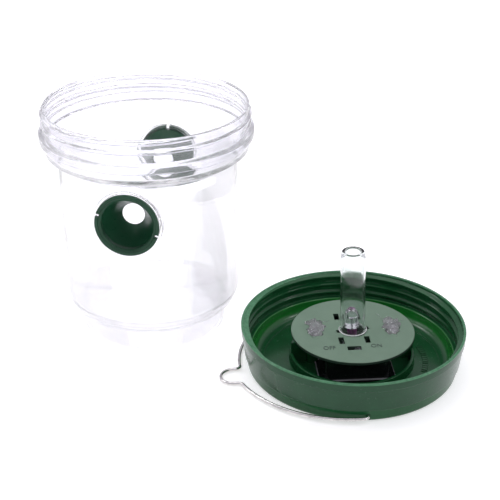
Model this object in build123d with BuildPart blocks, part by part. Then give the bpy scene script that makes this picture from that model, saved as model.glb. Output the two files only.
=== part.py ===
"""Hanging insect trap: a clear jar with two entry funnels and a screw lid that holds a solar light.

The jar stands upright on its base. Its lid lies upside down beside it, with the light tube pointing up
and the wire bail folded flat. Origin at the centre of the jar's base, +X towards the lid, +Z up.
Millimetres.
"""

import os
from math import asin, cos, degrees, radians, sin, tan

from build123d import *

os.makedirs("parts", exist_ok=True)

# ---------------------------------------------------------------- driving dimensions
# Jar
jar_height = 146.5
jar_wall = 1.7
body_radius = 54.2
base_radius = 44.9
base_step = 17.5            # height of the narrow foot
base_flare = 0.5            # the foot widens this much going up
step_up = 1.2               # rise and outward swell of the sloping step above the foot
step_out = 1.5
step_inner_out = 0.6
body_start = 26.0           # the straight side starts here
shoulder_height = 116.0     # the straight side ends here
skirt_radius = 61.5         # collar under the bead
skirt_height = 120.0
skirt_flare = 0.3
bead_radius = 64.3
bead_height = 126.5
bead_depth = 5.5
bead_under = 0.3            # slopes under and over the bead
bead_over = 0.6
neck_radius = 61.3
lip_round = 0.6

# Screw thread, shared by the neck and the lid
thread_pitch = 5.6
thread_crest = 62.7         # radius of the crest on the neck
thread_overlap = 0.4        # how far the lid's crest reaches past it
thread_root = 1.5           # half the height of a thread where it meets the wall
thread_sink = 0.6           # how far a thread's root is sunk in the wall
thread_run_in = 0.1
jar_thread_crest = 0.6      # half the height of the crest
lid_thread_crest = 0.4
jar_thread_start = 0.55     # pitches from the rim to the first crest
lid_thread_start = 0.5
jar_threads = 2
lid_threads = 3

# Entry funnels
funnel_height = 92.4
funnel_azimuth = -75.4      # which way the first funnel faces
funnel_flange_radius = 19.0
funnel_flange = 2.2
funnel_mouth_radius = 15.3
funnel_wall = 1.2
funnel_length = 17.8
funnel_tip_radius = 6.3
catch_height = 0.25         # the snap ridge that holds the funnel in its hole
catch_ramp = 0.3
catch_width = 0.8
catch_end = 2.0             # the spigot ends this far behind the wall
notch_width = 2.2
notch_depth = 2.1
front_notch_turn = -18.0    # the first funnel is turned this far in its hole
rear_notch_turn = 90.0
rim_round = 0.5             # on the flanges and the pads
pad_radius = 20.5           # round flat pad that the flange seats on
pad_depth = 8.0             # how far in the pad's drum reaches
pad_stand = 0.6             # how far the pad's face stands out past the body
hole_cut = 10.0
overrun = 1.0               # how far a cutter starts or ends outside what it cuts
running_gap = 0.1

# Lid
lid_offset = 134.2          # from the jar's axis to the lid's axis
lid_turn = 27.5             # which way the lid's own x axis points
lid_radius = 67.0
lid_height = 27.3
rim_wall = 1.6
skirt_foot_radius = 64.6    # the skirt narrows to this at its closed end
skirt_inner_foot = 63.1
cap_radius = 63.3           # the narrower top tier
cap_wall = 3.1
cap_draft = 0.4
skirt_start = 8.0           # height of the top tier
ledge_height = 10.5         # the jar's rim seals here
floor_thickness = 2.0
step_radius = 53.0          # the floor's rim is raised from here out
step_rise = 0.5
collar_radius = 37.5
collar_wall = 2.0
collar_height = 8.0
rib_middle = 32.0           # the stiffening ribs, from the lid's axis
rib_length = 10.0
rib_thickness = 2.0
rib_height = 13.0

# Light module
cover_radius = 36.9
cover_thickness = 2.0
cover_top = 22.4
housing_width = 38.0
housing_depth = 49.8
housing_wall = 1.5
housing_corner = 4.0
housing_gap = 0.5           # between the housing and the cover
cavity_corner = 2.5
tray_width = 46.0
tray_depth = 52.8
tray_thickness = 2.1
tray_chamfer = 0.7
panel_size = 42.0
window_corner = 1.0
cell_margin = 1.0           # from the panel's edge to the cell
cell_corner = 0.5
window_thickness = 1.0
window_recess = 0.4
post_spacing = 48.0
post_radius = 3.8
screw_radius = 1.4
screw_head_radius = 2.9
screw_head = 1.1
screw_length = 10.0
screw_hole_depth = 11.0
screw_gap = 0.2
board_thickness = 1.6
board_height = 15.0
board_corner = 2.2
board_screw_radius = 0.95
board_screw_gap = 0.15
board_screw_head_radius = 1.8
board_screw_head = 1.2
board_screw_bite = 5.5      # below the board
board_hole_depth = 6.0
standoff_radius = 2.3
battery_radius = 5.25
battery_length = 44.5
battery_round = 0.5
contact_size = 9.0
contact_thickness = 0.6
led_radius = 3.9
led_flange_radius = 4.65
led_flange = 1.6
led_height = 12.2
led_lift = 8.8              # the spacer's length, board to LED
led_lean = 4.0              # degrees
led_gap = 0.25              # between the leaning spacer and the board
spacer_radius = 2.8
switch_width = 8.2
switch_slot = 4.2
switch_travel = 4.0
switch_place = (-2.0, -20.8)
switch_end = 2.0            # the switch's body past each end of its slot
switch_side = 0.4
switch_floor = 1.0
well_gap = 0.4              # the well is narrower than the slot
knob_gap = 1.0              # and so is the knob
knob_drop = 0.5             # the knob's top, below the cover's face
knob_chamfer = 0.4
cover_round = 0.4
lead_diameter = 1.2
lead_gap = 0.2
bend_share = 0.45           # of a straight run that a bend may use
peep_width = 3.2
peep_depth = 7.4
glue_size = (4.9, 9.0, 2.4)   # half width, half depth, height
glue_round = 1.6

# Light tube
tube_base_radius = 8.0
tube_waist_radius = 7.5
tube_lip_radius = 6.6
tube_mouth_radius = 4.7
tube_wall = 1.0
tube_top = 75.2
tube_lean = 2.0             # degrees
tube_draft = 0.1
tube_gap = 0.4              # between the tube's foot and the board
waist_rise = 1.0            # the base's straight side ends this far above the cover
waist_slope = 2.0
waist_inner = (0.2, 2.4)    # where the same slope starts and ends inside
shoulder_drop = (4.0, 4.2)  # from the tip to the shoulder, outside and inside
tip_drop = 1.2
key_drop = 2.4              # from the cover's underside to the keys' undersides
key_thickness = 1.8
key_radius = 9.7
key_width = 2.6
key_angle = 9.0
socket_gap = 0.25

# Bail
wire_diameter = 2.2
hoop_radius = 65.5
hoop_bulge = 4.5            # one side of the hoop is bent out this far
pin_height = 3.9
pin_inner = 59.0            # how far in the pins reach
pin_gap = 0.15
pin_hole_start = 3.0        # the pin's hole is cut from here, inside the cap's wall
pin_hole_end = 2.0          # to here, outside it
pin_bend = 2.6
shoulder_bend = 3.0
front_bulge = 1.2
front_sweep = 66.2          # degrees of hoop from a pin to the hanging loop
rear_sweep = 92.6
loop_tip = 80.0             # from the pins to the tip of the hanging loop
fit_gap = 0.3               # between parts that fit with clearance
same_size = 0.01            # two radii closer than this are the same

# ---------------------------------------------------------------- derived places
rim_inner = neck_radius - jar_wall
pad_face = body_radius + pad_stand
funnel_face = pad_face + running_gap + funnel_flange
spigot_radius = funnel_mouth_radius + funnel_wall
hole_radius = spigot_radius + fit_gap
cover_bottom = cover_top - cover_thickness
tray_top = floor_thickness + tray_thickness
housing_top = cover_bottom - housing_gap
board_top = board_height + board_thickness
lid_crest = thread_crest - thread_overlap
skirt_draft = (lid_radius - rim_wall - skirt_inner_foot) / (lid_height - ledge_height)
lid_inner = lid_radius - rim_wall
cap_inner = cap_radius - cap_wall
step_middle = (base_radius + body_radius) / 2
bail_tilt = degrees(asin((pin_height - wire_diameter / 2) / loop_tip))

lid_x = (cos(radians(lid_turn)), sin(radians(lid_turn)), 0)
lid_plane = Plane(origin=(lid_offset, 0, 0), x_dir=lid_x, z_dir=(0, 0, 1))
pin_plane = Plane(origin=(lid_offset, 0, pin_height), x_dir=lid_plane.x_dir, z_dir=lid_plane.y_dir)


def lean(degrees_over, height, rise):
    """A plane this far along an axis that leaves the lid's axis at a height, leaning to its -x side."""
    over = radians(degrees_over)
    up = Vector(0, 0, 1)
    leaning_up = up * cos(over) - lid_plane.x_dir * sin(over)
    leaning_x = lid_plane.x_dir * cos(over) + up * sin(over)
    return Plane(origin=lid_plane.origin + up * height, x_dir=leaning_x, z_dir=leaning_up).offset(rise)


def upright_section(plane):
    """The plane that holds another plane's x and z axes, for a profile to revolve."""
    return Plane(origin=plane.origin, x_dir=plane.x_dir, z_dir=-plane.y_dir)


def rims(edges, radius):
    """The circular edges of this radius."""
    return edges.filter_by(GeomType.CIRCLE).filter_by(lambda edge: abs(edge.radius - radius) < same_size)


def save(part, name):
    """Label a finished piece and write it."""
    part.label = name
    export_step(part, f"parts/{name}.step")


# ---------------------------------------------------------------- jar
def funnel_plane(azimuth, reach):
    """A plane facing out through a funnel's hole, x level and y up, this far from the jar's axis."""
    out = Vector(cos(radians(azimuth)), sin(radians(azimuth)), 0)
    level = (-sin(radians(azimuth)), cos(radians(azimuth)), 0)
    return Plane(origin=out * reach + Vector(0, 0, funnel_height), x_dir=level, z_dir=out)


outer_points = [
    (0, 0),
    (base_radius, 0),
    (base_radius + base_flare, base_step),
    (step_middle + step_out, base_step + step_up),
    (body_radius, body_start),
    (body_radius, shoulder_height),
    (skirt_radius, skirt_height),
    (skirt_radius + skirt_flare, bead_height),
    (bead_radius, bead_height + bead_under),
    (bead_radius, bead_height + bead_depth),
    (neck_radius, bead_height + bead_depth + bead_over),
    (neck_radius, jar_height),
    (0, jar_height),
]
outer_rounds = [2.5, 0.8, 3.5, 6, 2.5, 1.2, 0.5, 1.2, 1.2, 0.5, lip_round]
inner_points = [
    (0, jar_height),
    (rim_inner, jar_height),
    (rim_inner, skirt_height + jar_wall),
    (body_radius - jar_wall, shoulder_height + jar_wall),
    (body_radius - jar_wall, body_start + jar_wall / 2),
    (step_middle + step_inner_out, base_step + step_up + jar_wall),
    (base_radius - jar_wall + base_flare, base_step + jar_wall),
    (base_radius - jar_wall, jar_wall),
    (0, jar_wall),
]
inner_rounds = [lip_round, 2, 2, 5, 3, 1, 2]


def rounded_outline(points, rounds):
    """A closed outline with every corner rounded but its first and last."""
    FilletPolyline(*points, radius=[*rounds])
    Line(points[-1], points[0])


def thread_outline(root, side, crest_radius, half_crest, height):
    """A thread's outline at this height, its root sunk in a wall that lies to one side."""
    sunk = root + side * thread_sink
    Polyline(
        (sunk, height + thread_root + thread_run_in),
        (root, height + thread_root),
        (crest_radius, height + half_crest),
        (crest_radius, height - half_crest),
        (root, height - thread_root),
        (sunk, height - thread_root - thread_run_in),
        close=True,
    )


with BuildPart() as jar:
    with BuildSketch(Plane.XZ):
        with BuildLine():
            rounded_outline(outer_points, outer_rounds)
        make_face()
    revolve(axis=Axis.Z)
    for turn in range(jar_threads):
        crest = jar_height - thread_pitch * (turn + jar_thread_start)
        with BuildSketch(Plane.XZ):
            with BuildLine():
                thread_outline(neck_radius, -1, thread_crest, jar_thread_crest, crest)
            make_face()
        revolve(axis=Axis.Z)
    for azimuth in (funnel_azimuth, funnel_azimuth + 180):
        with BuildSketch(funnel_plane(azimuth, pad_face)):
            Circle(pad_radius)
        extrude(amount=-pad_depth)
    fillet(rims(jar.edges(), pad_radius), rim_round)
    with BuildSketch(Plane.XZ):
        with BuildLine():
            rounded_outline(inner_points, inner_rounds)
        make_face()
    revolve(axis=Axis.Z, mode=Mode.SUBTRACT)
    for azimuth in (funnel_azimuth, funnel_azimuth + 180):
        with BuildSketch(funnel_plane(azimuth, pad_face - jar_wall)):
            Circle(pad_radius - jar_wall)
        extrude(amount=-pad_depth, mode=Mode.SUBTRACT)
        with BuildSketch(funnel_plane(azimuth, pad_face + overrun)):
            Circle(hole_radius)
        extrude(amount=-hole_cut, mode=Mode.SUBTRACT)
save(jar.part, "jar")


# ---------------------------------------------------------------- entry funnels
def make_funnel(azimuth, notch_turn):
    """A flanged cone that snaps into a hole of the jar, its axis along the hole's."""
    face = funnel_plane(azimuth, funnel_face)
    section = Plane(origin=face.origin, x_dir=face.x_dir, z_dir=(0, 0, -1))
    catch = -(funnel_flange + running_gap + jar_wall + running_gap)
    catch_radius = spigot_radius + fit_gap + catch_height
    tip_outer = funnel_tip_radius + funnel_wall
    with BuildPart() as funnel:
        with BuildSketch(section):
            with BuildLine():
                Polyline(
                    (funnel_mouth_radius, 0),
                    (funnel_flange_radius, 0),
                    (funnel_flange_radius, -funnel_flange),
                    (spigot_radius, -funnel_flange),
                    (spigot_radius, catch),
                    (catch_radius, catch - catch_ramp),
                    (catch_radius, catch - catch_width),
                    (spigot_radius - catch_ramp, catch - catch_end),
                    (tip_outer, -funnel_length),
                    (funnel_tip_radius, -funnel_length),
                    (funnel_mouth_radius, catch),
                    close=True,
                )
            make_face()
        revolve(axis=Axis(face.origin, face.z_dir))
        fillet(rims(funnel.edges(), funnel_flange_radius), rim_round)
        with BuildSketch(face):
            with PolarLocations(funnel_flange_radius + (overrun - notch_depth) / 2, 2, notch_turn):
                Rectangle(notch_depth + overrun, notch_width)
        extrude(amount=-funnel_flange, mode=Mode.SUBTRACT)
    return funnel.part


save(make_funnel(funnel_azimuth, front_notch_turn), "front_funnel")
save(make_funnel(funnel_azimuth + 180, rear_notch_turn), "rear_funnel")

# ---------------------------------------------------------------- lid
lid_section = upright_section(lid_plane)
lid_axis = Axis(lid_plane.origin, lid_plane.z_dir)
lid_points = [
    (0, floor_thickness),
    (0, 0),
    (cap_radius - cap_draft, 0),
    (cap_radius, skirt_start),
    (skirt_foot_radius, skirt_start),
    (lid_radius, lid_height),
    (lid_inner, lid_height),
    (skirt_inner_foot, ledge_height),
    (cap_inner, ledge_height),
    (cap_inner - cap_draft, floor_thickness + step_rise),
    (step_radius, floor_thickness + step_rise),
    (step_radius, floor_thickness),
    (0, floor_thickness),
]
lid_rounds = [2.5, 0.3, 0.6, 0.6, 0.5, 0.4, 0.8, 5.5, 0.2, 0.2]
post_places = [(-post_spacing / 2, 0), (post_spacing / 2, 0)]

with BuildPart() as lid:
    with BuildSketch(lid_section):
        with BuildLine():
            FilletPolyline(*lid_points[1:], radius=lid_rounds)
            Line(lid_points[0], lid_points[1])
        make_face()
    revolve(axis=lid_axis)
    for turn in range(lid_threads):
        crest = ledge_height + thread_pitch * (turn + lid_thread_start)
        wall = skirt_inner_foot + skirt_draft * (crest - ledge_height)
        with BuildSketch(lid_section):
            with BuildLine():
                thread_outline(wall, 1, lid_crest, lid_thread_crest, crest)
            make_face()
        revolve(axis=lid_axis)
    with BuildSketch(lid_plane.offset(floor_thickness)):
        Circle(collar_radius)
        Circle(collar_radius - collar_wall, mode=Mode.SUBTRACT)
    extrude(amount=collar_height - floor_thickness)
    with BuildSketch(lid_plane.offset(floor_thickness)):
        with Locations(*post_places):
            Circle(post_radius)
    extrude(amount=cover_bottom - floor_thickness)
    with BuildSketch(lid_plane.offset(floor_thickness)):
        with Locations((-rib_middle, 0), (rib_middle, 0)):
            Rectangle(rib_length, rib_thickness)
    extrude(amount=rib_height)
    with BuildSketch(lid_plane):
        Rectangle(panel_size, panel_size)
    extrude(amount=floor_thickness, mode=Mode.SUBTRACT)
    with BuildSketch(lid_plane.offset(cover_bottom)):
        with Locations(*post_places):
            Circle(screw_radius)
    extrude(amount=-screw_hole_depth, mode=Mode.SUBTRACT)
    for side in (1, -1):
        with BuildSketch(pin_plane.offset(side * (cap_inner - pin_hole_start))):
            Circle(wire_diameter / 2 + pin_gap)
        extrude(amount=side * (pin_hole_start + cap_wall + pin_hole_end), mode=Mode.SUBTRACT)
save(lid.part, "lid")


# ---------------------------------------------------------------- light module
def plate(plane, width, depth, thickness, corner, name):
    """A flat rounded rectangle, its underside on the plane."""
    with BuildPart() as piece:
        with BuildSketch(plane):
            RectangleRounded(width, depth, corner)
        extrude(amount=thickness)
    save(piece.part, name)


window_size = panel_size - 2 * fit_gap
window_plane = lid_plane.offset(window_recess)
plate(window_plane, window_size, window_size, window_thickness, window_corner, "solar_window")
cell_size = panel_size - 2 * cell_margin
cell_bottom = window_recess + window_thickness
cell_thickness = floor_thickness - cell_bottom
plate(lid_plane.offset(cell_bottom), cell_size, cell_size, cell_thickness, cell_corner, "solar_cell")

cavity_floor = floor_thickness + housing_wall
cavity_width = housing_width - 2 * housing_wall
cavity_depth = housing_depth - 2 * housing_wall
standoff_places = [(x, y) for x in (-14, 14) for y in (-16, 19)]
lead_places = [(-9, 18), (9, 18)]

with BuildPart() as solar_housing:
    with BuildSketch(lid_plane.offset(floor_thickness)):
        RectangleRounded(tray_width, tray_depth, housing_corner)
        with Locations(*post_places):
            Circle(post_radius + fit_gap, mode=Mode.SUBTRACT)
    extrude(amount=tray_thickness)
    chamfer(solar_housing.faces().sort_by(Axis.Z)[-1].outer_wire().edges(), tray_chamfer)
    with BuildSketch(lid_plane.offset(tray_top)):
        RectangleRounded(housing_width, housing_depth, housing_corner)
    extrude(amount=housing_top - tray_top)
    with BuildSketch(lid_plane.offset(cavity_floor)):
        RectangleRounded(cavity_width, cavity_depth, cavity_corner)
    extrude(amount=housing_top - cavity_floor, mode=Mode.SUBTRACT)
    with BuildSketch(lid_plane.offset(cavity_floor)):
        with Locations(*standoff_places):
            Circle(standoff_radius)
    extrude(amount=board_height - cavity_floor)
    with BuildSketch(lid_plane.offset(board_height)):
        with Locations(*standoff_places):
            Circle(board_screw_radius)
    extrude(amount=-board_hole_depth, mode=Mode.SUBTRACT)
    with BuildSketch(lid_plane.offset(cavity_floor)):
        with Locations(*lead_places):
            Circle(lead_diameter / 2 + lead_gap)
    extrude(amount=-housing_wall, mode=Mode.SUBTRACT)
save(solar_housing.part, "solar_housing")

board_width = cavity_width - 2 * fit_gap
board_depth = cavity_depth - 2 * fit_gap
with BuildPart() as circuit_board:
    with BuildSketch(lid_plane.offset(board_height)):
        RectangleRounded(board_width, board_depth, board_corner)
        with Locations(*standoff_places):
            Circle(board_screw_radius + board_screw_gap, mode=Mode.SUBTRACT)
    extrude(amount=board_thickness)
save(circuit_board.part, "circuit_board")

with BuildPart() as board_screws:
    with BuildSketch(lid_plane.offset(board_top)):
        with Locations(*standoff_places):
            Circle(board_screw_head_radius)
    extrude(amount=board_screw_head)
    with BuildSketch(lid_plane.offset(board_top)):
        with Locations(*standoff_places):
            Circle(board_screw_radius)
    extrude(amount=-(board_thickness + board_screw_bite))
save(board_screws.part, "board_screws")

battery_height = cavity_floor + fit_gap + battery_radius
battery_plane = Plane(origin=(lid_offset, 0, battery_height), x_dir=lid_plane.x_dir, z_dir=lid_plane.y_dir)
with BuildPart() as battery:
    with BuildSketch(battery_plane):
        Circle(battery_radius)
    extrude(amount=battery_length / 2, both=True)
    fillet(battery.edges(), battery_round)
save(battery.part, "battery")

with BuildPart() as battery_contacts:
    for side in (1, -1):
        with BuildSketch(battery_plane.offset(side * battery_length / 2)):
            Rectangle(contact_size, contact_size)
        extrude(amount=side * contact_thickness)
save(battery_contacts.part, "battery_contacts")


def bend_radius(run, turn):
    """The largest arc that a run leaves room for, with a turn in degrees."""
    return bend_share * run / tan(radians(turn / 2))


def make_lead(start, finish, name):
    """An insulated wire from the back of the cell, up through the housing's floor to the board."""
    rise = (board_height - floor_thickness) / 3
    points = [
        Vector(*start, floor_thickness),
        Vector(*start, floor_thickness + rise),
        Vector(*finish, board_height - rise),
        Vector(*finish, board_height),
    ]
    slope = points[2] - points[1]
    radius = bend_radius(rise, slope.get_angle(Vector(0, 0, 1)))
    with BuildLine() as route:
        FilletPolyline(*points, radius=radius)
    path = lid_plane * route.wire()
    with BuildPart() as lead:
        with BuildSketch(Plane(origin=path @ 0, z_dir=path % 0)):
            Circle(lead_diameter / 2)
        sweep(path=path)
    save(lead.part, name)


make_lead(lead_places[0], (-12, 14), "solar_lead_red")
make_lead(lead_places[1], (12, 14), "solar_lead_black")

led_plane = lean(led_lean, board_top, led_gap)
with BuildPart() as led_spacer:
    with BuildSketch(led_plane):
        Circle(spacer_radius)
    extrude(amount=led_lift)
save(led_spacer.part, "led_spacer")

led_section = upright_section(led_plane.offset(led_lift))
with BuildPart() as led:
    with BuildSketch(led_section):
        with BuildLine():
            Polyline(
                (0, led_height - led_radius),
                (0, 0),
                (led_flange_radius, 0),
                (led_flange_radius, led_flange),
                (led_radius, led_flange),
                (led_radius, led_height - led_radius),
            )
            Line((0, led_height - led_radius), (0, led_height))
            RadiusArc((0, led_height), (led_radius, led_height - led_radius), led_radius)
        make_face()
    revolve(axis=Axis(led_plane.offset(led_lift).origin, led_plane.z_dir))
save(led.part, "led")

with BuildPart() as switch_body:
    with BuildSketch(lid_plane.offset(board_top)):
        with Locations(switch_place):
            RectangleRounded(switch_width + 2 * switch_end, switch_slot + 2 * switch_side, switch_side)
    extrude(amount=cover_bottom - board_top - fit_gap)
    with BuildSketch(lid_plane.offset(board_top + switch_floor)):
        with Locations(switch_place):
            Rectangle(switch_width, switch_slot - well_gap)
    extrude(amount=cover_bottom, mode=Mode.SUBTRACT)
save(switch_body.part, "switch_body")

knob_width = switch_width - switch_travel - 2 * running_gap
knob_x = switch_place[0] + switch_travel / 2
knob_bottom = board_top + switch_floor + fit_gap
with BuildPart() as switch_knob:
    with BuildSketch(lid_plane.offset(knob_bottom)):
        with Locations((knob_x, switch_place[1])):
            Rectangle(knob_width, switch_slot - knob_gap)
    extrude(amount=cover_top - knob_drop - knob_bottom)
    chamfer(switch_knob.faces().sort_by(Axis.Z)[-1].edges(), knob_chamfer)
save(switch_knob.part, "switch_knob")

peep_holes = [(-7.7, 15.9), (7.0, 15.9), (-8.4, -12.0), (7.0, -11.8)]
counterbore = screw_head + running_gap
with BuildPart() as module_cover:
    with BuildSketch(lid_plane.offset(cover_bottom)):
        Circle(cover_radius)
        Circle(tube_base_radius + socket_gap, mode=Mode.SUBTRACT)
        with PolarLocations(key_radius / 2, 2, key_angle):
            Rectangle(key_radius + 2 * fit_gap, key_width + 2 * fit_gap, mode=Mode.SUBTRACT)
        with Locations(*peep_holes):
            Rectangle(peep_width, peep_depth, mode=Mode.SUBTRACT)
        with Locations(switch_place):
            Rectangle(switch_width, switch_slot, mode=Mode.SUBTRACT)
        with Locations(*post_places):
            Circle(screw_radius + screw_gap, mode=Mode.SUBTRACT)
    extrude(amount=cover_thickness)
    with BuildSketch(lid_plane.offset(cover_top)):
        with Locations(*post_places):
            Circle(screw_head_radius + fit_gap)
    extrude(amount=-counterbore, mode=Mode.SUBTRACT)
    fillet(rims(module_cover.edges(), cover_radius), cover_round)
save(module_cover.part, "module_cover")

with BuildPart() as module_screws:
    with BuildSketch(lid_plane.offset(cover_top - counterbore)):
        with Locations(*post_places):
            Circle(screw_head_radius)
    extrude(amount=screw_head)
    with BuildSketch(lid_plane.offset(cover_top - counterbore)):
        with Locations(*post_places):
            Circle(screw_radius)
    extrude(amount=-screw_length)
save(module_screws.part, "module_screws")


def make_glue_plug(place, name):
    """A low blob of clear glue over a screw's head."""
    with BuildPart() as plug:
        with BuildSketch(lid_plane.offset(cover_top)):
            with Locations(place):
                Ellipse(glue_size[0], glue_size[1])
        extrude(amount=glue_size[2])
        fillet(plug.faces().sort_by(Axis.Z)[-1].edges(), glue_round)
    save(plug.part, name)


make_glue_plug((-22.4, 3.2), "glue_plug_left")
make_glue_plug((24.0, 2.6), "glue_plug_right")

# ---------------------------------------------------------------- light tube
tube_seat = board_top + tube_gap
tube_plane = lean(tube_lean, cover_top, tube_seat - cover_top)
tube_length = tube_top - tube_seat
key_reach = key_radius - tube_base_radius + tube_wall / 2
key_middle = key_radius - key_reach / 2
waist = cover_top - tube_seat + waist_rise
waist_inner_radius = tube_waist_radius - tube_wall
tube_points = [
    (tube_base_radius - tube_wall, 0),
    (tube_base_radius, 0),
    (tube_base_radius, waist),
    (tube_waist_radius, waist + waist_slope),
    (tube_waist_radius - tube_draft, tube_length - shoulder_drop[0]),
    (tube_lip_radius, tube_length),
    (tube_mouth_radius, tube_length),
    (tube_mouth_radius, tube_length - tip_drop),
    (waist_inner_radius, tube_length - shoulder_drop[1]),
    (waist_inner_radius, waist + waist_inner[1]),
    (tube_base_radius - tube_wall, waist + waist_inner[0]),
]
tube_rounds = [0.2, 0.6, 0.6, 1.8, 0.8, 0.5, 0.3, 1.2, 0.6]
with BuildPart() as light_tube:
    with BuildSketch(upright_section(tube_plane)):
        with BuildLine():
            rounded_outline(tube_points, tube_rounds)
        make_face()
    revolve(axis=Axis(tube_plane.origin, tube_plane.z_dir))
    with BuildSketch(tube_plane.offset(cover_bottom - key_drop - tube_seat)):
        with PolarLocations(key_middle, 2, key_angle):
            Rectangle(key_reach, key_width)
    extrude(amount=key_thickness)
save(light_tube.part, "light_tube")

# ---------------------------------------------------------------- bail
front_arc_radius = hoop_radius + front_bulge * hoop_bulge


def half_bail(side, arc_radius, sweep_angle):
    """From a pin's tip, round its corner and along the hoop to the foot of the hanging loop."""
    pin = Line((0, side * pin_inner), (0, side * (hoop_radius - pin_bend)))
    corner = JernArc(pin @ 1, pin % 1, pin_bend, side * 90)
    hoop = JernArc(corner @ 1, corner % 1, arc_radius, side * sweep_angle)
    shoulder = JernArc(hoop @ 1, hoop % 1, shoulder_bend, -side * sweep_angle)
    return shoulder @ 1


with BuildLine() as bail_route:
    front_foot = half_bail(-1, front_arc_radius, front_sweep)
    rear_foot = half_bail(1, hoop_radius, rear_sweep)
    loop_radius = (rear_foot.Y - front_foot.Y) / 2
    loop_start = (loop_radius - loop_tip, front_foot.Y)
    loop_end = (loop_radius - loop_tip, rear_foot.Y)
    Line(front_foot, loop_start)
    ThreePointArc(loop_start, (-loop_tip, front_foot.Y + loop_radius), loop_end)
    Line(loop_end, rear_foot)
bail_plane = lean(bail_tilt, pin_height, 0)
bail_path = bail_plane * bail_route.wire()
with BuildPart() as bail:
    with BuildSketch(Plane(origin=bail_path @ 0, z_dir=bail_path % 0)):
        Circle(wire_diameter / 2)
    sweep(path=bail_path)
save(bail.part, "bail")
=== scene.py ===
from math import asin, atan2, ceil, cos, degrees, hypot, pi, radians, sin, tan

import bmesh
import bpy
from mathutils import Matrix, Vector, noise


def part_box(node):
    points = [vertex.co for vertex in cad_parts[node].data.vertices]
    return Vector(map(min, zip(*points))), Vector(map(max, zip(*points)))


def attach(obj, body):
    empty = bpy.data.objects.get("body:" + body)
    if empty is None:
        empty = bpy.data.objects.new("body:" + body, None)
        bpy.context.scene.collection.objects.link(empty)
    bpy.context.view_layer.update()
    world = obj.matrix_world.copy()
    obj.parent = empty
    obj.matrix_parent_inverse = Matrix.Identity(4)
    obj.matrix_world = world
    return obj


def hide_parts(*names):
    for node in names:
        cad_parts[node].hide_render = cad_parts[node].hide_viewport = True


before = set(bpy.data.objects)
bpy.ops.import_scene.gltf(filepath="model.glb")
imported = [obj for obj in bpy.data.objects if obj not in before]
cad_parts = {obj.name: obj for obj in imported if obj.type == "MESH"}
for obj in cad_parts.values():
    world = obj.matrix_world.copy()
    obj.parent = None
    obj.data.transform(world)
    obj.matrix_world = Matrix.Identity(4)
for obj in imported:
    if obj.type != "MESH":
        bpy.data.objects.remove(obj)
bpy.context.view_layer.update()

# ------------------------------------------------------------------ sizes, in millimetres
MM = 0.001


def cad_box(node):
    """Lowest and highest corner of a CAD node, in millimetres."""
    low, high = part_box(node)
    return Vector(low) / MM, Vector(high) / MM


lid_low, lid_high = cad_box("lid")
LID_OFFSET = (lid_low.x + lid_high.x) / 2
LID_RADIUS = (lid_high.x - lid_low.x) / 2
LID_HEIGHT = lid_high.z
JAR_HEIGHT = cad_box("jar")[1].z
COVER_BOTTOM = cad_box("module_cover")[0].z
COVER_TOP = cad_box("module_cover")[1].z

JAR_WALL = 1.7
BODY_RADIUS = 54.2
BASE_RADIUS = 44.9
BASE_STEP = 17.5
BASE_FLARE = 0.5           # the foot widens this much going up, outside
BASE_INNER_FLARE = 0.4
STEP_UP = 1.2              # rise and outward swell of the sloping step above the foot
STEP_OUT = 1.5
STEP_INNER_OUT = 0.6
BODY_START = 26.0
SHOULDER = 116.0
SKIRT_RADIUS = 61.5
SKIRT_HEIGHT = 120.0
SKIRT_FLARE = 0.3
BEAD_RADIUS = 64.3
BEAD_HEIGHT = 126.5
BEAD_DEPTH = 5.5
BEAD_UNDER = 0.3
BEAD_OVER = 0.6
NECK_RADIUS = 61.3
MOUTH_CUT = 2.0            # the inside is cut this far past the rim
THREAD_PITCH = 5.6
THREAD_CREST = 62.7
THREAD_HALF = 1.7          # half the height of a thread
THREAD_SHARPNESS = 1.3
THREAD_OVERLAP = 0.4       # the lid's crest is this much further in
THREAD_FADE = 0.08         # part of a turn in which a thread fades in or out
JAR_THREAD_START = 134.6
JAR_THREAD_TURNS = 1.9
LID_THREAD_START = 1.6     # above the ledge
LID_THREAD_TURNS = 2.6
ON_WALL = 0.05             # a vertex this close to the wall's radius is on it

FUNNEL_HEIGHT = 92.4
FUNNEL_AZIMUTHS = {"front": -75.4, "rear": 104.6}
NOTCH_TURNS = {"front": -18.0, "rear": 90.0}
NOTCH = (3.1, 2.2, 5)      # the cutter's size
NOTCH_MIDDLE = 0.55        # from the flange's rim in to the cutter's middle
NOTCH_BOTTOM = -3
FLANGE_RADIUS = 19.0
FLANGE = 2.2
LIP_WIDTH = 1.9            # the raised lip round the flange
LIP_SLOPE = 0.5
LIP_DROP = 0.7
CHAMFER = 0.9              # from the flange's face into the mouth
CHAMFER_DROP = 1.4
CATCH_RISE = 0.55          # the snap ridge behind the wall
CATCH_RAMP = 0.3
CATCH_WIDTH = 0.8
CATCH_END = 2.0
HOLE_GAP = 0.3
HOLE_CUT = 12
MOUTH_RADIUS = 15.3
FUNNEL_WALL = 1.2
FUNNEL_LENGTH = 17.8
TIP_RADIUS = 6.3
PAD_RADIUS = 20.5
PAD_FACE = 54.8
PAD_DEPTH = 8
PAD_ROUND = 0.5
RUNNING_GAP = 0.1

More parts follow.
